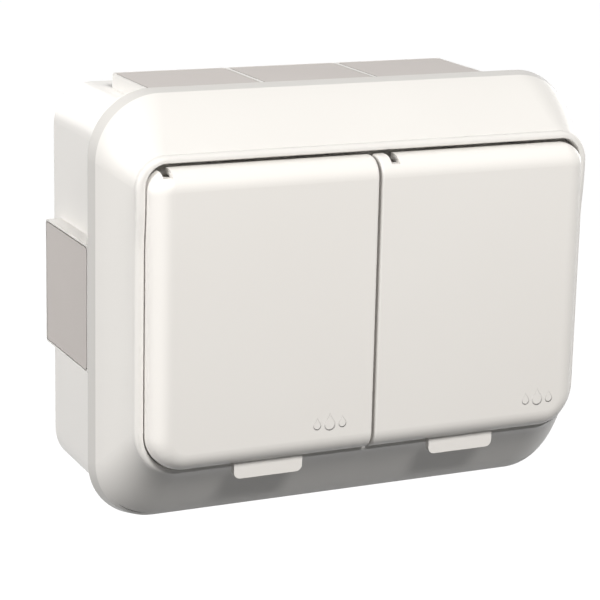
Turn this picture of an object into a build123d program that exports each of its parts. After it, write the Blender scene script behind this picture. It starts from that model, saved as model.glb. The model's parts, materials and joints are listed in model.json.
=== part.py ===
from build123d import *
from math import cos, pi
import os

os.makedirs("parts", exist_ok=True)

# The wall is the plane Y = 0 and the socket faces -Y, so a depth d lies at Y = -d.
# Sketches on Plane.XZ.offset(d) have X to the right and Z up, and extrude towards the front.

# Overall sizes
frame_width = 159.2
frame_height = 129.8
frame_drop = 0.7
frame_top_radius = 19.5
frame_bottom_radius = 18.0
frame_back_rounding = 0.6
total_depth = 75.0
frame_depth = 30.0
strip_depth = 4.7
strip_taper = 1.0
rim_drop = 6.7

# Back box
box_side_inset = 4.9
box_height = 121.6
box_drop = 1.8
box_radius = 11.8
box_lap = 5.2
box_rounding = 0.8
box_wall = 2.4
box_floor = 2.6

# Cable entries
collar_proud = 4.5
collar_edge = 0.5
top_entry_count = 3
top_entry_width = 37.0
top_entry_back = 13.5
top_entry_shift = -5.3
side_entry_width = 38.6
side_entry_back = 6.1
side_entry_drop = 0.8
entry_radius = 1.2
entry_ledge = 1.6
entry_clearance = 0.4
insert_thickness = 2.2
insert_wall = 1.4
collar_gap = 0.4

# Lids
lid_side_margin = 8.9
lid_gap = 0.8
lid_low = -43.9
lid_high = 45.2
lid_wall = 1.8
lid_rounding = 6.0
lid_inner_rounding = 0.8
lid_top_radius = 6.6
lid_bottom_radius = 11.2
lid_depth = 8.4
lid_side_clearance = 0.25
hood_clearance = 1.25
tab_width = 21.9
tab_drop = 4.9
tab_thickness = 2.0
tab_inset = 3.2
tab_radius = 2.0
tab_clearance = 0.3
notch_width = 2.7
notch_inset = 3.6
notch_depth = 2.2

# Frame front
rim_width = 2.6
rim_bottom_width = 2.1
rim_top_width = 2.1
rim_rounding = 1.4
rim_inner_rounding = 0.4
hood_drop = 5.7
hood_low = 20.0
hood_run = 16.0
deck_drop = 9.4
deck_thickness = 2.2
trough_depth = 1.2
trough_height = 10.5
trough_radius = 1.0
skirt_clearance = 0.5
gasket_thickness = 1.0
gasket_width = 1.9
gasket_inset = 0.2
slope_sections = 7
slope_crease = 0.74
rim_land = 1.5
cavity_margin = 2.8

# Hinge
hinge_setback = 4.7
hinge_drop = 4.7
pin_radius = 1.2
ear_bore_clearance = 0.02
knuckle_bore_clearance = 0.06
ear_radius = 2.0
ear_width = 3.0
ear_offset = 26.5
ear_foot_drop = 8.0
ear_foot_height = 3.2
ear_back_reach = 1.1
knuckle_radius = 2.1
knuckle_width = 4.0
hinge_side_gap = 0.4
top_wall_depth = 7.6
top_wall_cut = 5.7
pin_overhang = 0.5

# Springs
spring_wire = 0.25
spring_pin_gap = 0.3
spring_pitch = 1.0
spring_turns = 5

# Socket inserts
socket_height = -1.0
dish_radius = 19.5
dish_depth = 17.5
dish_wall = 1.8
mouth_radius = 19.9
mouth_depth = 3.0
mouth_rounding = 0.6
dish_floor = 2.0
collar_radius = 22.3
collar_proud_of_deck = 3.0
collar_hole_clearance = 0.3
flange_width = 49.0
flange_height = 58.0
flange_thickness = 2.0
flange_radius = 3.0
pin_spacing = 19.0
pin_hole_radius = 2.75
guide_width = 4.4
guide_height = 2.2
guide_root = 0.6
face_screw_radius = 1.6
face_screw_head = 3.0
face_screw_height = 1.6
face_screw_length = 10.0
face_pilot_depth = 12.0

seal_width = 3.8
seal_outer_radius = 24.4
seal_gap = 0.3
seal_rib_width = 1.0
seal_rib_height = 2.0

base_width = 44.0
base_height = 50.0
base_setback = 48.0
base_radius = 4.0
dish_clearance = 0.4
strap_setback = 21.0
strap_thickness = 1.2
strap_gap = 1.1
strap_arm_height = 20.0
strap_plate_width = 50.0
strap_plate_height = 60.0
strap_radius = 2.5
strap_screw_inset = 4.8

# Contacts
chamber_width = 8.0
chamber_reach = 4.6
chamber_setback = 45.0
terminal_offset = 17.0
terminal_size = 7.0
terminal_depth = 8.5
contact_width = 5.0
contact_sheet = 0.8
contact_gap = 4.4
contact_tip_gap = 1.0
wire_radius = 0.9
wire_clearance = 0.35
wire_bend = 3.0
wire_drop = 6.0
wire_end_gap = 1.0
wire_clamp_gap = 0.02
terminal_screw_radius = 1.5
terminal_screw_head = 2.4
terminal_head_height = 1.6

# Earth clips
clip_width = 6.0
clip_sheet = 0.8
clip_slot_clearance = 0.5
clip_reach = 1.2
clip_setback = 1.6
clip_foot = 5.6
clip_lip = 0.6

# Fasteners and bosses
pillar_radius = 3.2
column_radius = 3.4
column_inset = 10.2
column_z = 24.0
screw_radius = 1.5
screw_hole_clearance = 0.3
pilot_clearance = 0.05
screw_head_radius = 2.9
screw_head_height = 1.8
frame_screw_length = 16.0
strap_screw_length = 14.0
pilot_depth = 20.0
recess_width = 0.9
wall_slot_x = 104.0
wall_slot_z = 92.0
wall_slot_width = 4.8
wall_slot_length = 9.0
wall_pad_margin = 3.0
wall_pad_height = 1.2
link_width = 8.0
link_radius = 1.5

# Sizes that follow from the ones above
frame_back = total_depth - frame_depth
rim_front = total_depth - rim_drop
hood_front = total_depth - hood_drop
deck_front = total_depth - deck_drop
lid_back = total_depth - lid_depth
top_wall_back = total_depth - top_wall_depth
hinge_depth = total_depth - hinge_setback
base_back = total_depth - base_setback
strap_back = total_depth - strap_setback
chamber_floor = total_depth - chamber_setback
box_front = frame_back + box_lap
box_width = frame_width - 2 * box_side_inset
column_x = box_width / 2 - column_inset
lid_pitch = frame_width / 2 - lid_side_margin
half_pitch = lid_pitch / 2
strap_width = lid_pitch - strap_gap
strap_screw_spacing = strap_width - 2 * strap_screw_inset
sides = {"left": -1, "right": 1}
box_low = -box_drop - box_height / 2
box_high = -box_drop + box_height / 2
frame_high = -frame_drop + frame_height / 2
frame_low = -frame_drop - frame_height / 2
recess_half_width = lid_pitch - lid_gap / 2 + lid_side_clearance
recess_low = lid_low - lid_side_clearance
recess_high = lid_high + hood_clearance
lid_front_inner = total_depth - lid_wall
lid_width = lid_pitch - lid_gap
hinge_z = lid_high - hinge_drop
deck_back = deck_front - deck_thickness
gasket_front = box_front + gasket_thickness
collar_front = deck_front + collar_proud_of_deck
dish_bottom = collar_front - dish_depth
base_front = dish_bottom - dish_floor
knuckle_offset = ear_offset - ear_width / 2 - hinge_side_gap - knuckle_width / 2
pin_half_length = ear_offset + ear_width / 2 + pin_overhang
strap_front = strap_back + strap_thickness


def rounded_outline(half_width, low, high, top_radius, bottom_radius):
    """Draw a rectangle with its own corner radius at the top and at the bottom."""
    with Locations((0, (low + high) / 2)):
        Rectangle(2 * half_width, high - low)
    fillet(vertices().group_by(Axis.Y)[-1], top_radius)
    fillet(vertices().group_by(Axis.Y)[0], bottom_radius)


def box_outline(inset):
    """Draw the back box's outline, moved in by inset."""
    rounded_outline(box_width / 2 - inset, box_low + inset, box_high - inset,
                    box_radius - inset, box_radius - inset)


def save(piece, name):
    piece.label = name
    export_step(piece, f"parts/{name}.step")


def pan_screw(x, z, seat, length, radius, head_radius, head_height):
    """Build a cross-recessed screw whose head seats at this depth."""
    with BuildPart() as screw:
        with BuildSketch(Plane.XZ.offset(seat)):
            with Locations((x, z)):
                Circle(head_radius)
        extrude(amount=head_height)
        fillet(screw.faces().sort_by(Axis.Y)[0].edges(), head_height / 3)
        with BuildSketch(Plane.XZ.offset(seat)):
            with Locations((x, z)):
                Circle(radius)
        extrude(amount=-length)
        with BuildSketch(Plane.XZ.offset(seat + head_height)):
            with Locations((x, z)):
                Rectangle(1.2 * head_radius, recess_width)
                Rectangle(recess_width, 1.2 * head_radius)
        extrude(amount=-head_height / 2, mode=Mode.SUBTRACT)
    return screw.part


# Cable entries: place, width across, and where each starts in front of the wall
top_entries = [(top_entry_shift + (i - (top_entry_count - 1) / 2) * top_entry_width)
               for i in range(top_entry_count)]
entry_front = frame_back - collar_gap
top_face = box_high + collar_proud
side_face = box_width / 2 + collar_proud

# An entry's plane lies on the collar's face, with its local Y towards the front of the socket
entries = {}
for name, x in zip(("top_left", "top_centre", "top_right"), top_entries):
    entries[name] = (Plane(origin=(x, 0, top_face), x_dir=(-1, 0, 0), z_dir=(0, 0, 1)),
                     top_entry_width, top_entry_back)
entries["left"] = (Plane(origin=(-side_face, 0, -side_entry_drop), x_dir=(0, 0, -1), z_dir=(-1, 0, 0)),
                   side_entry_width, side_entry_back)
entries["right"] = (Plane(origin=(side_face, 0, -side_entry_drop), x_dir=(0, 0, 1), z_dir=(1, 0, 0)),
                    side_entry_width, side_entry_back)


def entry_rectangle(width, back, inset):
    """Draw one cable entry's rectangle on its own plane, moved in by inset."""
    with Locations((0, (back + entry_front) / 2)):
        RectangleRounded(width - 2 * inset, entry_front - back - 2 * inset, entry_radius)


# Back box
with BuildPart() as back_box:
    with BuildSketch(Plane.XZ):
        box_outline(0)
    extrude(amount=box_front)
    fillet(back_box.faces().sort_by(Axis.Y)[-1].edges(), box_rounding)
    for plane, width, back in entries.values():
        with BuildSketch(plane):
            entry_rectangle(width, back, 0)
        extrude(amount=-collar_proud - box_wall)
    with BuildSketch(Plane.XZ.offset(box_floor)):
        box_outline(box_wall)
    extrude(amount=box_front, mode=Mode.SUBTRACT)
    for plane, width, back in entries.values():
        with BuildSketch(plane):
            entry_rectangle(width, back, collar_edge)
        extrude(amount=-insert_thickness, mode=Mode.SUBTRACT)
        with BuildSketch(plane):
            entry_rectangle(width, back, collar_edge + entry_ledge)
        extrude(amount=-collar_proud - 2 * box_wall, mode=Mode.SUBTRACT)
    # Columns for the frame screws and pillars for the straps
    with BuildSketch(Plane.XZ.offset(box_floor)):
        with GridLocations(2 * column_x, 2 * column_z, 2, 2):
            Circle(column_radius)
    extrude(amount=deck_back - box_floor)
    with BuildSketch(Plane.XZ.offset(box_floor)):
        for side in sides.values():
            with Locations((side * half_pitch, socket_height)):
                with GridLocations(strap_screw_spacing, 0, 2, 1):
                    Circle(pillar_radius)
    extrude(amount=strap_back - box_floor)
    with BuildSketch(Plane.XZ.offset(deck_back)):
        with GridLocations(2 * column_x, 2 * column_z, 2, 2):
            Circle(screw_radius + pilot_clearance)
    extrude(amount=-pilot_depth, mode=Mode.SUBTRACT)
    with BuildSketch(Plane.XZ.offset(strap_back)):
        for side in sides.values():
            with Locations((side * half_pitch, socket_height)):
                with GridLocations(strap_screw_spacing, 0, 2, 1):
                    Circle(screw_radius + pilot_clearance)
    extrude(amount=-pilot_depth, mode=Mode.SUBTRACT)
    # Slotted wall fixings with a raised sealing pad round each
    with BuildSketch(Plane.XZ.offset(box_floor)):
        with GridLocations(wall_slot_x, wall_slot_z, 2, 2):
            SlotOverall(wall_slot_length + 2 * wall_pad_margin, wall_slot_width + 2 * wall_pad_margin)
    extrude(amount=wall_pad_height)
    with BuildSketch(Plane.XZ):
        with GridLocations(wall_slot_x, wall_slot_z, 2, 2):
            SlotOverall(wall_slot_length, wall_slot_width)
    extrude(amount=box_floor + wall_pad_height, mode=Mode.SUBTRACT)

save(back_box.part, "back_box")

# Cable entry inserts, with a plug that passes through the box wall
for name, (plane, width, back) in entries.items():
    with BuildPart() as insert:
        with BuildSketch(plane):
            entry_rectangle(width, back, collar_edge + entry_clearance)
        extrude(amount=-insert_thickness)
        with BuildSketch(plane):
            entry_rectangle(width, back, collar_edge + entry_ledge + entry_clearance)
        extrude(amount=-collar_proud - box_wall)
        with BuildSketch(plane.offset(-collar_proud - box_wall)):
            entry_rectangle(width, back, collar_edge + entry_ledge + entry_clearance + insert_wall)
        extrude(amount=collar_proud + box_wall - insert_thickness, mode=Mode.SUBTRACT)
    save(insert.part, f"cable_insert_{name}")


# Front frame: an ogee slope from the side strip to the rim around the lids
def slope_share(t):
    """Share of the way in, for a share t of the way forward: a creased start, then an S curve."""
    return slope_crease * t + (1 - slope_crease) * (3 - 2 * t) * t * t


def frame_section(t):
    """Draw the frame's outline at a share t of the slope."""
    share = slope_share(t)
    back_half_width = frame_width / 2 - strip_taper
    back_low = frame_low + strip_taper
    back_high = frame_high - strip_taper
    half_width = back_half_width + share * (recess_half_width + rim_width - back_half_width)
    low = back_low + share * (recess_low - rim_bottom_width - back_low)
    high = back_high + share * (recess_high + rim_top_width - back_high)
    top_radius = frame_top_radius + share * (lid_top_radius + rim_width - frame_top_radius)
    bottom_radius = frame_bottom_radius + share * (lid_bottom_radius + rim_width - frame_bottom_radius)
    rounded_outline(half_width, low, high, top_radius, bottom_radius)


def is_cross_edge(edge):
    """Tell whether an edge runs across the rim where the hood's ramp starts or ends."""
    return min(abs(edge.center().Z - hood_low), abs(edge.center().Z - hood_low - hood_run)) < 0.1


slope_back = frame_back + strip_depth
slope_front = rim_front - rim_land
with BuildPart() as front_frame:
    with BuildSketch(Plane.XZ.offset(frame_back)):
        rounded_outline(frame_width / 2, frame_low, frame_high, frame_top_radius, frame_bottom_radius)
    with BuildSketch(Plane.XZ.offset(slope_back)):
        frame_section(0)
    loft()
    fillet(front_frame.faces().sort_by(Axis.Y)[-1].edges(), frame_back_rounding)
    for i in range(slope_sections):
        t = i / (slope_sections - 1)
        with BuildSketch(Plane.XZ.offset(slope_back + t * (slope_front - slope_back))):
            frame_section(t)
    loft()
    # The rim stands further out along the top, as a hood over the lids, with a ramp at each side
    with BuildSketch(Plane.XZ.offset(slope_front)):
        frame_section(1)
    extrude(amount=hood_front - slope_front)
    with BuildSketch(Plane.YZ):
        with BuildLine():
            ramp = Spline((-rim_front, hood_low), (-hood_front, hood_low + hood_run),
                          tangents=((0, 1), (0, 1)))
            Polyline(ramp @ 1, (-total_depth, hood_low + hood_run), (-total_depth, frame_low),
                     (-rim_front, frame_low), ramp @ 0)
        make_face()
    extrude(amount=frame_width, both=True, mode=Mode.SUBTRACT)
    front_edges = front_frame.edges().filter_by(lambda e: e.center().Y < -slope_front - 1)
    fillet([edge for edge in front_edges if not is_cross_edge(edge)], rim_rounding)
    # The skirt goes over the box, and the cavity narrows towards the deck
    with BuildSketch(Plane.XZ.offset(frame_back)):
        box_outline(-skirt_clearance)
    extrude(amount=gasket_front - frame_back, mode=Mode.SUBTRACT)
    with BuildSketch(Plane.XZ.offset(gasket_front)):
        box_outline(box_wall)
    with BuildSketch(Plane.XZ.offset(deck_back)):
        rounded_outline(recess_half_width, recess_low - cavity_margin, recess_high + cavity_margin,
                        lid_top_radius, lid_bottom_radius)
    loft(mode=Mode.SUBTRACT)
    # The recess that the lids close into
    with BuildSketch(Plane.XZ.offset(deck_front)):
        rounded_outline(recess_half_width, recess_low, recess_high, lid_top_radius, lid_bottom_radius)
    extrude(amount=rim_front, mode=Mode.SUBTRACT)
    inner_edges = front_frame.edges(Select.LAST).filter_by(lambda e: e.center().Y < -rim_front + 0.1)
    fillet([edge for edge in inner_edges if not is_cross_edge(edge)], rim_inner_rounding)
    # A trough behind the hinges gives the lids' top walls room to turn
    with BuildSketch(Plane.XZ.offset(deck_front)):
        rounded_outline(recess_half_width, recess_high - trough_height, recess_high,
                        lid_top_radius, trough_radius)
    extrude(amount=-trough_depth, mode=Mode.SUBTRACT)
    # Openings for the socket collars and the frame screws
    with BuildSketch(Plane.XZ.offset(deck_back)):
        with Locations((0, socket_height)):
            with GridLocations(lid_pitch, 0, 2, 1):
                Circle(collar_radius + collar_hole_clearance)
        with GridLocations(2 * column_x, 2 * column_z, 2, 2):
            Circle(screw_radius + screw_hole_clearance)
    extrude(amount=deck_thickness, mode=Mode.SUBTRACT)
    # Hooked ears that hold the hinge pins
    for side in sides.values():
        for end in (-1, 1):
            ear_x = side * half_pitch + end * ear_offset
            with BuildSketch(Plane.YZ.offset(ear_x - ear_width / 2)):
                with Locations((-hinge_depth, hinge_z)):
                    Circle(ear_radius)
                with BuildLine():
                    Polyline((-hinge_depth + ear_back_reach, hinge_z),
                             (-hinge_depth + ear_back_reach, hinge_z - ear_foot_drop),
                             (-deck_front, hinge_z - ear_foot_drop),
                             (-deck_back - deck_thickness / 2, hinge_z - ear_foot_drop),
                             (-deck_back - deck_thickness / 2, hinge_z - ear_foot_drop - ear_foot_height),
                             (-hinge_depth - ear_radius / 2, hinge_z - ear_foot_drop - ear_foot_height),
                             (-hinge_depth - ear_radius * cos(pi / 6), hinge_z - ear_foot_drop),
                             (-hinge_depth - ear_radius * cos(pi / 6), hinge_z),
                             close=True)
                make_face()
                with Locations((-hinge_depth, hinge_z)):
                    Circle(pin_radius + ear_bore_clearance, mode=Mode.SUBTRACT)
            extrude(amount=ear_width)

save(front_frame.part, "front_frame")

# Gasket between the box's rim and the frame
with BuildPart() as frame_gasket:
    with BuildSketch(Plane.XZ.offset(box_front)):
        box_outline(gasket_inset)
    extrude(amount=gasket_thickness)
    with BuildSketch(Plane.XZ.offset(box_front)):
        box_outline(gasket_inset + gasket_width)
    extrude(amount=gasket_thickness, mode=Mode.SUBTRACT)

save(frame_gasket.part, "frame_gasket")


# Lids, a mirrored pair
def rounded_lid_body(inset):
    """Build the right-hand lid's solid form with its pitch centre at X = 0, moved in by inset."""
    front = total_depth - inset
    with BuildPart() as form:
        with BuildSketch(Plane.XZ.offset(lid_back)) as outline:
            with Locations((0, (lid_low + lid_high) / 2)):
                Rectangle(lid_width - 2 * inset, lid_high - lid_low - 2 * inset)
            outer_corners = outline.vertices().group_by(Axis.X)[-1].sort_by(Axis.Y)
            fillet(outer_corners[-1], lid_top_radius - inset)
            lowest_corners = outline.vertices().group_by(Axis.Y)[0].sort_by(Axis.X)
            fillet(lowest_corners[-1], lid_bottom_radius - inset)
        extrude(amount=front - lid_back)
        # The outer, top and bottom edges are rounded, and the edge beside the other lid is not
        front_edges = form.faces().sort_by(Axis.Y)[0].edges().sort_by(Axis.X)[1:]
        fillet(front_edges, lid_rounding - inset)
    return form.part


def make_lid():
    """Build the right-hand lid with its pitch centre at X = 0."""
    outer_form = rounded_lid_body(0)
    inner_form = rounded_lid_body(lid_wall)
    with BuildPart() as lid:
        add(outer_form)
        inner_edge = lid.faces().sort_by(Axis.X)[0].edges().filter_by(lambda e: e.center().Y < -lid_back - 1)
        fillet(inner_edge, lid_inner_rounding)
        add(inner_form, mode=Mode.SUBTRACT)
        # The back of the top wall stops short, so it clears the frame as the lid turns
        with BuildSketch(Plane.XZ.offset(lid_back)):
            with Locations((0, lid_high)):
                Rectangle(lid_width, 2 * top_wall_cut)
        extrude(amount=top_wall_back - lid_back, mode=Mode.SUBTRACT)
        # Knuckles that turn on the hinge pin
        for end in (-1, 1):
            with BuildSketch(Plane.YZ.offset(end * knuckle_offset - knuckle_width / 2)):
                with Locations((-hinge_depth, hinge_z)):
                    Circle(knuckle_radius)
                with Locations((-(hinge_depth + lid_front_inner) / 2, hinge_z + knuckle_radius / 2)):
                    Rectangle(lid_front_inner - hinge_depth, knuckle_radius)
            extrude(amount=knuckle_width)
        with Locations(Location((0, -hinge_depth, hinge_z), (0, 90, 0))):
            Cylinder(pin_radius + knuckle_bore_clearance, 2 * (knuckle_offset + knuckle_width),
                     mode=Mode.SUBTRACT)
        # Rib that holds the seal
        with BuildSketch(Plane.XZ.offset(lid_front_inner)):
            with Locations((0, socket_height)):
                Circle(seal_outer_radius + seal_rib_width)
                Circle(seal_outer_radius, mode=Mode.SUBTRACT)
        extrude(amount=-seal_rib_height)
    return lid.part


for side_name, side in sides.items():
    with BuildPart() as lid:
        form = make_lid()
        if side < 0:
            form = mirror(form, about=Plane.YZ, mode=Mode.PRIVATE)
        add(form.moved(Location((side * half_pitch, 0, 0))))
        # The pull tab hangs below the middle of the flat front
        with BuildSketch(Plane.XZ.offset(rim_front + tab_clearance)) as tab:
            with Locations((side * (half_pitch - tab_inset), lid_low - tab_drop / 2 + lid_wall / 4)):
                Rectangle(tab_width, tab_drop + lid_wall / 2)
            fillet(tab.vertices().group_by(Axis.Y)[0], tab_radius)
        extrude(amount=tab_thickness)
        # The notch is at the left end of both lids
        with BuildSketch(Plane.XZ.offset(lid_back)):
            with Locations((side * half_pitch - lid_width / 2 + notch_inset + notch_width / 2, lid_high)):
                Rectangle(notch_width, 2 * notch_depth)
        extrude(amount=total_depth, mode=Mode.SUBTRACT)
    save(lid.part, f"lid_{side_name}")

    with BuildPart() as seal:
        with BuildSketch(Plane.XZ.offset(collar_front + seal_gap)):
            with Locations((side * half_pitch, socket_height)):
                Circle(seal_outer_radius)
                Circle(seal_outer_radius - seal_width, mode=Mode.SUBTRACT)
        extrude(amount=lid_front_inner - collar_front - seal_gap)
    save(seal.part, f"lid_seal_{side_name}")

    with BuildPart() as hinge_pin:
        with Locations(Location((side * half_pitch, -hinge_depth, hinge_z), (0, 90, 0))):
            Cylinder(pin_radius, 2 * pin_half_length)
        chamfer(hinge_pin.edges().filter_by(GeomType.CIRCLE), pin_radius / 4)
    save(hinge_pin.part, f"hinge_pin_{side_name}")

# Closing springs, wound round the pins beside the inner knuckles
coil_radius = pin_radius + spring_pin_gap + spring_wire
coil_height = spring_pitch * spring_turns
with BuildPart() as lid_springs:
    for side in sides.values():
        coil_start = side * half_pitch - knuckle_offset + knuckle_width / 2 + hinge_side_gap + spring_wire
        with BuildLine():
            coil = Helix(spring_pitch, coil_height, coil_radius,
                         center=(coil_start, -hinge_depth, hinge_z), direction=(1, 0, 0))
        with BuildSketch(Plane(origin=coil @ 0, z_dir=coil % 0)):
            Circle(spring_wire)
        sweep(path=coil, is_frenet=True)

save(lid_springs.part, "lid_springs")


# Socket inserts, one behind each lid
def pin_points(x):
    return [(x - pin_spacing / 2, socket_height), (x + pin_spacing / 2, socket_height)]


clip_slot = clip_width + 2 * clip_slot_clearance
clip_leg_radius = dish_radius + dish_wall + clip_slot_clearance + clip_sheet / 2
clip_top = deck_back - clip_setback
for side_name, side in sides.items():
    x = side * half_pitch
    with BuildPart() as socket_face:
        with BuildSketch(Plane.XZ.offset(base_front)):
            with Locations((x, socket_height)):
                Circle(dish_radius + dish_wall)
        extrude(amount=deck_back - base_front)
        with BuildSketch(Plane.XZ.offset(deck_back - flange_thickness)):
            with Locations((x, socket_height)):
                RectangleRounded(flange_width, flange_height, flange_radius)
        extrude(amount=flange_thickness)
        with BuildSketch(Plane.XZ.offset(deck_back)):
            with Locations((x, socket_height)):
                Circle(collar_radius)
        extrude(amount=collar_front - deck_back)
        with BuildSketch(Plane.XZ.offset(dish_bottom)):
            with Locations((x, socket_height)):
                Circle(dish_radius)
        extrude(amount=dish_depth, mode=Mode.SUBTRACT)
        with BuildSketch(Plane.XZ.offset(collar_front)):
            with Locations((x, socket_height)):
                Circle(mouth_radius)
        extrude(amount=-mouth_depth, mode=Mode.SUBTRACT)
        fillet(socket_face.faces().sort_by(Axis.Y)[0].edges(), mouth_rounding)
        # Guide ribs that keep the plug from turning
        with BuildSketch(Plane.XZ.offset(dish_bottom)):
            with Locations((x, socket_height)):
                with GridLocations(2 * dish_radius - guide_height, 0, 2, 1):
                    Rectangle(guide_height + guide_root, guide_width)
        extrude(amount=dish_depth - mouth_depth)
        with BuildSketch(Plane.XZ.offset(base_front)):
            with Locations(*pin_points(x)):
                Circle(pin_hole_radius)
            with Locations((x, socket_height)):
                Circle(face_screw_radius + screw_hole_clearance)
        extrude(amount=dish_floor, mode=Mode.SUBTRACT)
        # Slots for the earth clips
        with BuildSketch(Plane.XZ.offset(strap_front)):
            with Locations((x, socket_height)):
                with GridLocations(0, 2 * clip_leg_radius, 1, 2):
                    Rectangle(clip_slot, 2 * (clip_leg_radius - dish_radius) + 2 * clip_slot_clearance)
        extrude(amount=clip_top + clip_sheet - strap_front, mode=Mode.SUBTRACT)
    save(socket_face.part, f"socket_face_{side_name}")

    with BuildPart() as socket_base:
        with BuildSketch(Plane.XZ.offset(base_back)):
            with Locations((x, socket_height)):
                RectangleRounded(base_width, base_height, base_radius)
        extrude(amount=strap_back - base_back)
        with BuildSketch(Plane.XZ.offset(base_front)):
            with Locations((x, socket_height)):
                Circle(dish_radius + dish_wall + dish_clearance)
        extrude(amount=strap_back - base_front, mode=Mode.SUBTRACT)
        for pole in (-1, 1):
            pole_x = x + pole * pin_spacing / 2
            far_end = socket_height + pole * (terminal_offset + terminal_size / 2 + wire_clearance)
            near_end = socket_height - pole * chamber_reach
            # Chamber for the contact, from the pin hole to the terminal
            with BuildSketch(Plane.XZ.offset(chamber_floor)):
                with Locations((pole_x, (far_end + near_end) / 2)):
                    Rectangle(chamber_width, abs(far_end - near_end))
            extrude(amount=base_front - chamber_floor, mode=Mode.SUBTRACT)
            # Wire entry from behind and screw access from the end
            with BuildSketch(Plane.XZ.offset(base_back)):
                with Locations((pole_x, socket_height + pole * terminal_offset)):
                    Circle(wire_radius + wire_clearance)
            extrude(amount=chamber_floor - base_back, mode=Mode.SUBTRACT)
            access_z = socket_height + pole * base_height / 2
            with BuildSketch(Plane.XY.offset(access_z)):
                with Locations((pole_x, -chamber_floor - terminal_depth / 2)):
                    Circle(terminal_screw_head + wire_clearance)
            extrude(amount=-pole * (base_height / 2 - terminal_offset), mode=Mode.SUBTRACT)
        with BuildSketch(Plane.XZ.offset(base_front)):
            with Locations((x, socket_height)):
                Circle(face_screw_radius + pilot_clearance)
        extrude(amount=-face_pilot_depth, mode=Mode.SUBTRACT)
    save(socket_base.part, f"socket_base_{side_name}")

    # Contacts: a fork behind the pin hole, and a terminal block at its end
    for pole_name, pole in (("live", -1), ("neutral", 1)):
        pole_x = x + pole * pin_spacing / 2
        fork_tip = base_front - contact_tip_gap
        fork_outer = contact_gap / 2 + contact_sheet
        terminal_z = socket_height + pole * terminal_offset
        with BuildPart() as contact:
            with BuildSketch(Plane.YZ.offset(pole_x - contact_width / 2)):
                with Locations((-(chamber_floor + fork_tip) / 2, socket_height)):
                    Rectangle(fork_tip - chamber_floor, 2 * fork_outer)
                with Locations((-(chamber_floor + contact_sheet + fork_tip) / 2, socket_height)):
                    Rectangle(fork_tip - chamber_floor - contact_sheet, contact_gap, mode=Mode.SUBTRACT)
                with Locations((-chamber_floor - contact_sheet / 2, (socket_height + terminal_z) / 2)):
                    Rectangle(contact_sheet, terminal_offset)
            extrude(amount=contact_width)
            with BuildSketch(Plane.XZ.offset(chamber_floor)):
                with Locations((pole_x, terminal_z)):
                    Rectangle(terminal_size, terminal_size)
            extrude(amount=terminal_depth)
            with BuildSketch(Plane.XZ.offset(chamber_floor)):
                with Locations((pole_x, terminal_z)):
                    Circle(wire_radius + wire_clearance)
            extrude(amount=terminal_depth, mode=Mode.SUBTRACT)
            with BuildSketch(Plane.XY.offset(terminal_z + pole * terminal_size / 2)):
                with Locations((pole_x, -chamber_floor - terminal_depth / 2)):
                    Circle(terminal_screw_radius + pilot_clearance)
            extrude(amount=-pole * terminal_size / 2, mode=Mode.SUBTRACT)
        save(contact.part, f"contact_{pole_name}_{side_name}")

    # Steel strap that carries the base and is screwed to the box
    with BuildPart() as support_strap:
        with BuildSketch(Plane.XZ.offset(strap_back)) as strap_form:
            with Locations((x, socket_height)):
                Rectangle(strap_width, strap_arm_height)
                Rectangle(strap_plate_width, strap_plate_height)
            fillet(strap_form.vertices(), strap_radius)
            with Locations((x, socket_height)):
                Circle(dish_radius + dish_wall + dish_clearance, mode=Mode.SUBTRACT)
                with GridLocations(strap_screw_spacing, 0, 2, 1):
                    Circle(screw_radius + screw_hole_clearance, mode=Mode.SUBTRACT)
        extrude(amount=strap_thickness)
    save(support_strap.part, f"support_strap_{side_name}")

    # Earth clips: a foot on the strap, a leg beside the dish and a lip that reaches into it
    for end_name, end in (("lower", -1), ("upper", 1)):
        foot_depth = strap_front + clip_sheet / 2
        leg_z = socket_height + end * clip_leg_radius
        tip_z = socket_height + end * (dish_radius - clip_reach)
        with BuildPart() as earth_clip:
            with BuildSketch(Plane.YZ.offset(x - clip_width / 2)):
                with BuildLine() as clip_line:
                    FilletPolyline((-foot_depth, leg_z + end * clip_foot),
                                   (-foot_depth, leg_z),
                                   (-clip_top + clip_sheet, leg_z),
                                   (-clip_top + 2 * clip_sheet, tip_z),
                                   (-clip_top + 4 * clip_sheet, tip_z + end * clip_lip),
                                   radius=clip_sheet)
                trace(clip_line.line, line_width=clip_sheet)
            extrude(amount=clip_width)
        save(earth_clip.part, f"earth_clip_{side_name}_{end_name}")

# Copper link wires between the two sockets' terminals
wire_run = {"live": -1, "neutral": 1}
for pole_name, pole in wire_run.items():
    wire_z = socket_height + pole * terminal_offset
    wire_ends = [side * half_pitch + pole * pin_spacing / 2 for side in sides.values()]
    run_depth = base_back - wire_drop
    wire_end_depth = chamber_floor + terminal_depth - wire_end_gap
    with BuildPart() as link_wire:
        with BuildLine() as wire_line:
            FilletPolyline((wire_ends[0], -wire_end_depth, wire_z),
                           (wire_ends[0], -run_depth, wire_z),
                           (wire_ends[1], -run_depth, wire_z),
                           (wire_ends[1], -wire_end_depth, wire_z),
                           radius=wire_bend)
        with BuildSketch(Plane(origin=wire_line.line @ 0, z_dir=wire_line.line % 0)):
            Circle(wire_radius)
        sweep()
    save(link_wire.part, f"link_wire_{pole_name}")

# Brass earth link under the two inner strap screws
inner_screw_x = half_pitch - strap_screw_spacing / 2
with BuildPart() as earth_link:
    with BuildSketch(Plane.XZ.offset(strap_front)):
        with Locations((0, socket_height)):
            RectangleRounded(2 * inner_screw_x + link_width, link_width, link_radius)
            with GridLocations(2 * inner_screw_x, 0, 2, 1):
                Circle(screw_radius + screw_hole_clearance, mode=Mode.SUBTRACT)
    extrude(amount=clip_sheet)

save(earth_link.part, "earth_link")


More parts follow.
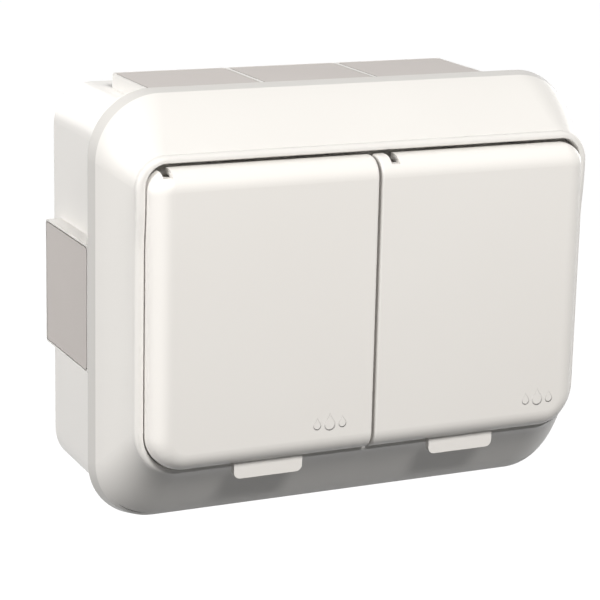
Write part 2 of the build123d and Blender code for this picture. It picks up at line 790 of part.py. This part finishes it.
# Screws
with BuildPart() as frame_screws:
    for x in (-column_x, column_x):
        for z in (-column_z, column_z):
            add(pan_screw(x, z, deck_front, frame_screw_length,
                          screw_radius, screw_head_radius, screw_head_height))
save(frame_screws.part, "frame_screws")

with BuildPart() as strap_screws:
    for side in sides.values():
        outer_x = side * (half_pitch + strap_screw_spacing / 2)
        inner_x = side * inner_screw_x
        add(pan_screw(outer_x, socket_height, strap_front, strap_screw_length,
                      screw_radius, screw_head_radius, screw_head_height))
        add(pan_screw(inner_x, socket_height, strap_front + clip_sheet, strap_screw_length,
                      screw_radius, screw_head_radius, screw_head_height))
save(strap_screws.part, "strap_screws")

with BuildPart() as face_screws:
    for side in sides.values():
        add(pan_screw(side * half_pitch, socket_height, dish_bottom, face_screw_length,
                      face_screw_radius, face_screw_head, face_screw_height))
save(face_screws.part, "face_screws")

# Terminal screws clamp the wires from the ends of the bases
with BuildPart() as terminal_screws:
    for side in sides.values():
        for pole in (-1, 1):
            seat_z = socket_height + pole * (terminal_offset + terminal_size / 2)
            axis_point = (side * half_pitch + pole * pin_spacing / 2, -chamber_floor - terminal_depth / 2)
            with BuildSketch(Plane.XY.offset(seat_z)):
                with Locations(axis_point):
                    Circle(terminal_screw_head)
            extrude(amount=pole * terminal_head_height)
            with BuildSketch(Plane.XY.offset(seat_z)):
                with Locations(axis_point):
                    Circle(terminal_screw_radius)
            extrude(amount=-pole * (terminal_size / 2 - wire_radius - wire_clamp_gap))
save(terminal_screws.part, "terminal_screws")
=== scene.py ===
import json
import math
import bpy
from mathutils import Matrix, Vector

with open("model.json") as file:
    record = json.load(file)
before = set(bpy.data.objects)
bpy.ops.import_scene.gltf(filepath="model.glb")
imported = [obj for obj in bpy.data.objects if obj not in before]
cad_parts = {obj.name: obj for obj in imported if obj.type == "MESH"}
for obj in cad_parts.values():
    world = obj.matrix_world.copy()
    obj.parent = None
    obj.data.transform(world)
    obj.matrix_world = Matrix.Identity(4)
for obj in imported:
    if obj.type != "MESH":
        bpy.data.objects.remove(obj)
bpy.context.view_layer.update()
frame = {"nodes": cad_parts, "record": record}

# Weatherproof double socket with both lids closed, on a white ground.
# Everything is in metres: the wall is the plane y = 0 and the socket faces -y.
mm = 0.001
bpy.ops.object.select_all(action="DESELECT")
print("frame:", len(frame["nodes"]), "nodes")


# Materials

noiseLook = {"toneDetail": 3.0, "grainDetail": 2.0, "darkest": 0.3, "brightest": 0.7}


def startMaterial(name):
    material = bpy.data.materials.new(name)
    material.use_nodes = True
    tree = material.node_tree
    tree.nodes.clear()
    output = tree.nodes.new("ShaderNodeOutputMaterial")
    shader = tree.nodes.new("ShaderNodeBsdfPrincipled")
    tree.links.new(shader.outputs["BSDF"], output.inputs["Surface"])
    place = tree.nodes.new("ShaderNodeTexCoord")
    return material, tree, shader, place.outputs["Object"]


def addNoise(tree, place, scale, detail, stretch=None):
    # Noise on the object's own coordinates; stretch makes brushed or drawn lines
    if stretch:
        mapping = tree.nodes.new("ShaderNodeMapping")
        mapping.inputs["Scale"].default_value = stretch
        tree.links.new(place, mapping.inputs["Vector"])
        place = mapping.outputs["Vector"]
    noise = tree.nodes.new("ShaderNodeTexNoise")
    noise.inputs["Scale"].default_value = scale
    noise.inputs["Detail"].default_value = detail
    tree.links.new(place, noise.inputs["Vector"])
    return noise.outputs["Fac"]


def addRange(tree, value, low, high, start=noiseLook["darkest"], end=noiseLook["brightest"]):
    # Noise keeps within its darkest and brightest values, so they are the usual ends
    span = tree.nodes.new("ShaderNodeMapRange")
    span.inputs["From Min"].default_value = start
    span.inputs["From Max"].default_value = end
    span.inputs["To Min"].default_value = low
    span.inputs["To Max"].default_value = high
    tree.links.new(value, span.inputs["Value"])
    return span.outputs["Result"]


def addMath(tree, operation, *values):
    # Each value is a number or another node's output
    node = tree.nodes.new("ShaderNodeMath")
    node.operation = operation
    for slot, value in zip(node.inputs, values):
        if isinstance(value, (int, float)):
            slot.default_value = value
        else:
            tree.links.new(value, slot)
    return node.outputs["Value"]


def addStep(tree, value, low, high, start, end):
    # A range with soft ends, for the edge of a raised mark or of a band
    step = addRange(tree, value, low, high, start, end)
    step.node.interpolation_type = "SMOOTHSTEP"
    return step


def addTones(tree, value, tones):
    mix = tree.nodes.new("ShaderNodeMix")
    mix.data_type = "RGBA"
    mix.inputs["A"].default_value = (*tones[0], 1)
    mix.inputs["B"].default_value = (*tones[1], 1)
    tree.links.new(value, mix.inputs["Factor"])
    return mix.outputs["Result"]


def addBump(tree, height, depth, below=None):
    bump = tree.nodes.new("ShaderNodeBump")
    bump.inputs["Strength"].default_value = 1.0
    bump.inputs["Distance"].default_value = depth
    tree.links.new(height, bump.inputs["Height"])
    if below:
        tree.links.new(below, bump.inputs["Normal"])
    return bump.outputs["Normal"]


# In millimetres: the mark's centre on the left lid, and each drop's offset from it and its radius.
# The tip, the pinch at the tip and the flat top are shares of the radius.
dropLook = {"centre": (-14.47, -33.9), "period": 70.7, "front": -74.5, "depth": 0.35,
            "drops": ((0.0, 1.93), (-4.1, 1.35), (4.1, 1.35)),
            "tip": 1.9, "pinch": 0.04, "plateau": 0.72}
# Painted shade on the frame's side strip: its depth span, soft edge and how far it is darkened
stripShadeLook = {"back": -45.2, "front": -49.6, "blur": 0.3, "shade": 0.80}


def addDrops(tree, place, look):
    # Three raised water drops, low on the right of each lid: 1 on a drop, 0 beside it
    split = tree.nodes.new("ShaderNodeSeparateXYZ")
    tree.links.new(place, split.inputs["Vector"])
    across = addMath(tree, "WRAP", split.outputs["X"], 0.0, -look["period"] * mm)
    height = 0.0
    for offset, radius in look["drops"]:
        centreX = (look["centre"][0] + offset) * mm
        side = addMath(tree, "DIVIDE", addMath(tree, "SUBTRACT", across, centreX), radius * mm)
        rise = addMath(tree, "SUBTRACT", split.outputs["Z"], look["centre"][1] * mm)
        rise = addMath(tree, "DIVIDE", rise, radius * mm)
        width = addStep(tree, rise, 1.0, look["pinch"], 0.0, look["tip"])
        side = addMath(tree, "DIVIDE", side, width)
        fall = addMath(tree, "MINIMUM", rise, 0.0)
        away = addMath(tree, "SQRT", addMath(tree, "ADD", addMath(tree, "MULTIPLY", side, side),
                                             addMath(tree, "MULTIPLY", fall, fall)))
        below = addMath(tree, "LESS_THAN", rise, look["tip"])
        drop = addMath(tree, "MULTIPLY", addStep(tree, away, 1.0, 0.0, look["plateau"], 1.0), below)
        height = addMath(tree, "MAXIMUM", drop, height)
    onFront = addMath(tree, "LESS_THAN", split.outputs["Y"], look["front"] * mm)
    return addMath(tree, "MULTIPLY", height, onFront)


def addStripShade(tree, place, look):
    # Painted shade: the frame's straight side strip is darkened against its slopes, standing in for the
    # dimmer light that falls on it
    split = tree.nodes.new("ShaderNodeSeparateXYZ")
    tree.links.new(place, split.inputs["Vector"])
    depth, blur = split.outputs["Y"], look["blur"] * mm
    inFront = addStep(tree, depth, 0.0, 1.0, look["front"] * mm - blur, look["front"] * mm)
    behind = addStep(tree, depth, 1.0, 0.0, look["back"] * mm - blur, look["back"] * mm)
    return addRange(tree, addMath(tree, "MULTIPLY", inFront, behind), 1.0, look["shade"], 0.0, 1.0)


def makeFinish(name, look):
    # Two close tones, a roughness that varies and fine grain over slow waves
    material, tree, shader, place = startMaterial(name)
    cloud = addNoise(tree, place, look["toneScale"], noiseLook["toneDetail"])
    grain = addNoise(tree, place, look["grainScale"], noiseLook["grainDetail"], look.get("stretch"))
    tone = addTones(tree, addRange(tree, cloud, 0.0, 1.0), look["tones"])
    # Painted shade: the frame's side strip is darkened here
    if look.get("band"):
        shade = tree.nodes.new("ShaderNodeVectorMath")
        shade.operation = "SCALE"
        tree.links.new(tone, shade.inputs["Vector"])
        tree.links.new(addStripShade(tree, place, stripShadeLook), shade.inputs["Scale"])
        tone = shade.outputs["Vector"]
    tree.links.new(tone, shader.inputs["Base Color"])
    rough = addRange(tree, cloud, *look["roughness"])
    tree.links.new(rough, shader.inputs["Roughness"])
    wave = addBump(tree, cloud, look.get("waveDepth", 0.0) * mm)
    if look.get("drops"):
        wave = addBump(tree, addDrops(tree, place, dropLook), dropLook["depth"] * mm, wave)
    normal = addBump(tree, grain, look["grainDepth"] * mm, wave)
    tree.links.new(normal, shader.inputs["Normal"])
    shader.inputs["Metallic"].default_value = look.get("metallic", 0.0)
    shader.inputs["Specular IOR Level"].default_value = look.get("specular", 0.5)
    return material


finishLooks = {
    # white_shell carries the painted shade on the frame's side strip
    "white_shell": {"tones": ((0.80, 0.785, 0.762), (0.82, 0.806, 0.783)), "toneScale": 14,
                    "roughness": (0.30, 0.36), "grainScale": 2400, "grainDepth": 0.004,
                    "waveDepth": 0.02, "specular": 0.2, "band": True},
    "white_lid": {"tones": ((0.88, 0.857, 0.828), (0.895, 0.875, 0.848)), "toneScale": 11,
                  "roughness": (0.28, 0.34), "grainScale": 2600, "grainDepth": 0.003,
                  "waveDepth": 0.02, "specular": 0.2, "drops": True},
    "grey_insert": {"tones": ((0.50, 0.465, 0.445), (0.53, 0.495, 0.475)), "toneScale": 30,
                    "roughness": (0.48, 0.56), "grainScale": 1800, "grainDepth": 0.010},
    "base_plastic": {"tones": ((0.74, 0.73, 0.69), (0.78, 0.77, 0.73)), "toneScale": 40,
                     "roughness": (0.42, 0.52), "grainScale": 1500, "grainDepth": 0.010},
    "seal_rubber": {"tones": ((0.035, 0.035, 0.036), (0.055, 0.055, 0.055)), "toneScale": 60,
                    "roughness": (0.62, 0.78), "grainScale": 1600, "grainDepth": 0.015},
    "brass": {"tones": ((0.72, 0.53, 0.24), (0.80, 0.62, 0.31)), "toneScale": 120,
              "roughness": (0.22, 0.36), "grainScale": 600, "grainDepth": 0.006,
              "stretch": (1, 1, 8), "metallic": 1.0},
    "copper_wire": {"tones": ((0.66, 0.33, 0.19), (0.76, 0.42, 0.27)), "toneScale": 150,
                    "roughness": (0.24, 0.34), "grainScale": 700, "grainDepth": 0.005,
                    "stretch": (0.1, 1, 1), "metallic": 1.0},
    "plated_spring": {"tones": ((0.66, 0.66, 0.64), (0.76, 0.76, 0.74)), "toneScale": 130,
                      "roughness": (0.16, 0.28), "grainScale": 900, "grainDepth": 0.004,
                      "stretch": (6, 1, 1), "metallic": 1.0},
    "zinc_steel": {"tones": ((0.58, 0.60, 0.62), (0.70, 0.71, 0.71)), "toneScale": 220,
                   "roughness": (0.28, 0.44), "grainScale": 1200, "grainDepth": 0.006,
                   "metallic": 1.0},
    "spring_steel": {"tones": ((0.50, 0.51, 0.53), (0.60, 0.61, 0.63)), "toneScale": 160,
                     "roughness": (0.20, 0.32), "grainScale": 1000, "grainDepth": 0.004,
                     "stretch": (0.1, 1, 1), "metallic": 1.0},
}
finishes = {name: makeFinish(name, look) for name, look in finishLooks.items()}

for part in frame["record"]["subparts"]:
    node = frame["nodes"][part["node"]]
    node.data.materials.clear()
    node.data.materials.append(finishes[part["material_slot"]])
print("finishes:", len(finishes))


# Floor, below the wall-mounted socket

floorLook = {"drop": 0.34, "size": 12.0, "tone": 0.10, "roughness": 0.9, "glow": 0.95}


def seenRays(tree):
    # 1 for the camera's rays, for mirrored ones and for those that pass through, and 0 for the rest
    path = tree.nodes.new("ShaderNodeLightPath")
    seen = path.outputs["Is Camera Ray"]
    for ray in ("Is Glossy Ray", "Is Transmission Ray"):
        either = tree.nodes.new("ShaderNodeMath")
        either.operation = "MAXIMUM"
        tree.links.new(seen, either.inputs[0])
        tree.links.new(path.outputs[ray], either.inputs[1])
        seen = either.outputs["Value"]
    return seen


bpy.ops.mesh.primitive_plane_add(size=floorLook["size"], location=(0, 0, -floorLook["drop"]))
floor = bpy.context.object
floor.name = "floor"
floorMaterial, floorTree, floorShader, floorPlace = startMaterial("paleFloor")
floorShader.inputs["Base Color"].default_value = (*(floorLook["tone"],) * 3, 1)
floorShader.inputs["Roughness"].default_value = floorLook["roughness"]
# The floor's glow comes on top of its lit surface, so it looks white and still keeps a shadow
floorGlow = floorTree.nodes.new("ShaderNodeEmission")
floorLevel = addRange(floorTree, seenRays(floorTree), 0.0, floorLook["glow"], 0.0, 1.0)
floorTree.links.new(floorLevel, floorGlow.inputs["Strength"])
floorBoth = floorTree.nodes.new("ShaderNodeAddShader")
floorTree.links.new(floorShader.outputs["BSDF"], floorBoth.inputs[0])
floorTree.links.new(floorGlow.outputs["Emission"], floorBoth.inputs[1])
floorTree.links.new(floorBoth.outputs["Shader"], floorTree.nodes["Material Output"].inputs["Surface"])
floor.data.materials.append(floorMaterial)
print("floor placed")


# World: white to the camera, soft light from above for everything else

worldLook = {"above": (1.0, 0.99, 0.97), "below": (0.06, 0.058, 0.055), "level": 0.06,
             "darkBelow": 0.02, "brightAbove": 0.9}

world = bpy.data.worlds.new("studio")
bpy.context.scene.world = world
world.use_nodes = True
sky = world.node_tree
sky.nodes.clear()
skyOutput = sky.nodes.new("ShaderNodeOutputWorld")
skyPlace = sky.nodes.new("ShaderNodeTexCoord")
skySplit = sky.nodes.new("ShaderNodeSeparateXYZ")
sky.links.new(skyPlace.outputs["Generated"], skySplit.inputs["Vector"])
skyShare = addRange(sky, skySplit.outputs["Z"], 0.0, 1.0, worldLook["darkBelow"], worldLook["brightAbove"])
skyTone = addTones(sky, skyShare, (worldLook["below"], worldLook["above"]))
skyLight = sky.nodes.new("ShaderNodeBackground")
skyLight.inputs["Strength"].default_value = worldLook["level"]
sky.links.new(skyTone, skyLight.inputs["Color"])
skyWhite = sky.nodes.new("ShaderNodeBackground")
skyWhite.inputs["Color"].default_value = (1, 1, 1, 1)
skyMix = sky.nodes.new("ShaderNodeMixShader")
sky.links.new(seenRays(sky), skyMix.inputs["Fac"])
sky.links.new(skyLight.outputs["Background"], skyMix.inputs[1])
sky.links.new(skyWhite.outputs["Background"], skyMix.inputs[2])
sky.links.new(skyMix.outputs["Shader"], skyOutput.inputs["Surface"])


# Lamps

lampLooks = {
    "keyLamp": {"place": (-0.05, -1.12, 0.90), "size": 0.4, "power": 19.6, "tone": (1.0, 0.985, 0.96)},
    "leftLamp": {"place": (-1.1, 0.0, 0.35), "size": 0.5, "power": 9.0, "tone": (1.0, 0.985, 0.965)},
    "rightLamp": {"place": (1.0, 0.45, 0.15), "size": 0.6, "power": 3.0, "tone": (1.0, 0.99, 0.98)},
    "backLamp": {"place": (-0.2, 1.3, 0.35), "size": 0.8, "power": 8.0, "tone": (1.0, 0.99, 0.98)},
}
for name, look in lampLooks.items():
    place = Vector(look["place"])
    turn = (-place).to_track_quat("-Z", "Y").to_euler()
    bpy.ops.object.light_add(type="AREA", location=place, rotation=turn)
    lamp = bpy.context.object
    lamp.name = name
    lamp.data.shape = "SQUARE"
    lamp.data.size = look["size"]
    lamp.data.energy = look["power"]
    lamp.data.color = look["tone"]
print("lamps:", len(lampLooks))


# Camera, solved from the photograph's edges

cameraLook = {"yaw": -25.696, "pitch": 14.222, "roll": 1.542, "distance": 0.69374,
              "target": (0.00951, -0.02624, -0.00261),
              "focalPixels": 2196.78, "framePixels": 600, "centrePixel": (335.5, 276.77),
              "sensorWidth": 36.0, "nearest": 0.01}


def placeCamera(look):
    yaw, pitch, roll = (math.radians(look[k]) for k in ("yaw", "pitch", "roll"))
    back = Vector((math.sin(yaw) * math.cos(pitch), -math.cos(yaw) * math.cos(pitch), math.sin(pitch)))
    level = Vector((math.cos(yaw), math.sin(yaw), 0))
    upright = back.cross(level)
    right = math.cos(roll) * level + math.sin(roll) * upright
    up = math.cos(roll) * upright - math.sin(roll) * level
    place = Vector(look["target"]) + back * look["distance"]
    turn = Matrix((right, up, back)).transposed().to_euler()
    bpy.ops.object.camera_add(location=place, rotation=turn)
    camera = bpy.context.object
    camera.data.sensor_fit = "HORIZONTAL"
    camera.data.sensor_width = look["sensorWidth"]
    camera.data.lens = look["focalPixels"] / look["framePixels"] * look["sensorWidth"]
    middle = look["framePixels"] / 2
    camera.data.shift_x = (middle - look["centrePixel"][0]) / look["framePixels"]
    camera.data.shift_y = (look["centrePixel"][1] - middle) / look["framePixels"]
    camera.data.clip_start = look["nearest"]
    return camera


bpy.context.scene.camera = placeCamera(cameraLook)
bpy.context.scene.view_settings.view_transform = "Standard"
print("camera placed")
